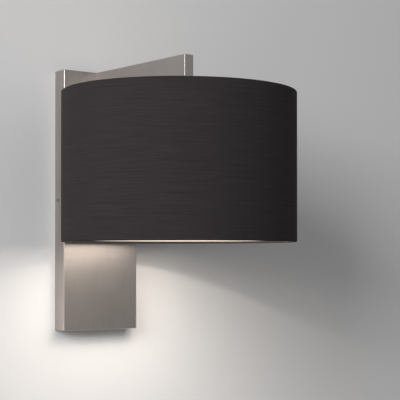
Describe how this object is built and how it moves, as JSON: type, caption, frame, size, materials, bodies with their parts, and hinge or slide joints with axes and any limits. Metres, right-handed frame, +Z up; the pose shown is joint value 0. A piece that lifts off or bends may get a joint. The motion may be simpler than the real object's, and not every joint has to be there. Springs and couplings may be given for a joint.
{
  "type": "wall sconce",
  "caption": "Wall light with a tall flat metal backplate, a slim arm level with its top, and a fabric drum shade hung on a screw lampholder under the arm.",
  "frame": {"origin": "middle of the wall bracket's two screw holes, on the wall", "axes": "+Y into the wall, +Z up, +X to the right for someone who faces the wall"},
  "size_m": [0.25, 0.2975, 0.298],
  "materials": {
    "nickel": "matt brushed nickel plate",
    "zinc": "zinc plated",
    "steel": "plain steel",
    "brass": "plain brass",
    "black_plastic": "moulded, satin",
    "black_rubber": "moulded rubber",
    "white_plastic": "moulded",
    "porcelain": "white moulded core, glossy",
    "brown_wire": "insulated wire",
    "blue_wire": "insulated wire",
    "green_wire": "insulated wire",
    "shade_fabric": "charcoal slub cloth, laminated",
    "shade_liner": "cream laminate lining",
    "white_enamel": "white powder coat",
    "opal_glass": "opal",
    "black_glass": "black glass",
    "stem_glass": "clear glass with light strips",
    "bulb_cap": "nickel plated screw cap"
  },
  "bodies": {
    "fixture": {"wall_bracket": "zinc", "cable_bush": "black_rubber", "terminal_block": "white_plastic", "terminal_inserts": "brass", "terminal_screws": "brass", "terminal_fixing_screws": "steel", "earth_screws": "brass", "earth_rings": "steel", "backplate_cover": "nickel", "side_screws": "steel", "arm_backing_plate": "zinc", "arm_screws": "steel", "arm_root_block": "steel", "arm_shell": "nickel", "arm_foot_block": "steel", "live_wire": "brown_wire", "neutral_wire": "blue_wire", "earth_wires": "green_wire", "carrier_plate": "nickel", "carrier_screws": "steel", "nipple": "zinc", "lampholder_cap": "black_plastic", "lampholder_skirt": "black_plastic", "lampholder_insert": "porcelain", "lampholder_shell": "brass", "centre_contact": "brass", "lampholder_terminals": "brass"},
    "shade": {"shade_fabric": "shade_fabric", "shade_liner": "shade_liner", "shade_spider": "white_enamel", "shade_bottom_ring": "white_enamel", "shade_top_hem": "shade_fabric", "shade_bottom_hem": "shade_fabric"},
    "ring_nut": {"shade_ring": "black_plastic"},
    "bulb_slide": {"bulb_contact": "bulb_cap"},
    "bulb": {"bulb_glass": "opal_glass", "bulb_cap": "bulb_cap", "bulb_insulator": "black_glass", "bulb_stem": "stem_glass"}
  },
  "joints": [
    {"name": "shade_drop", "type": "slide", "parent": "fixture", "child": "shade", "axis": [0, 0, -1], "range_m": [0, 0.02251]},
    {"name": "ring_turn", "type": "hinge", "parent": "shade", "child": "ring_nut", "pos_m": [0, -0.1725, 0.075], "axis": [0, 0, -1], "range_deg": [0, 3240]},
    {"name": "bulb_drop", "type": "slide", "parent": "fixture", "child": "bulb_slide", "axis": [0, 0, -1], "range_m": [0, 0.0218]},
    {"name": "bulb_turn", "type": "hinge", "parent": "bulb_slide", "child": "bulb", "pos_m": [0, -0.1725, 0.06], "axis": [0, 0, -1], "range_deg": [0, 2160]}
  ],
  "couplings": [
    {"joint": "shade_drop", "follows": "ring_turn", "m_per_rad": 0.00039789},
    {"joint": "bulb_drop", "follows": "bulb_turn", "m_per_rad": 0.00057757}
  ]
}
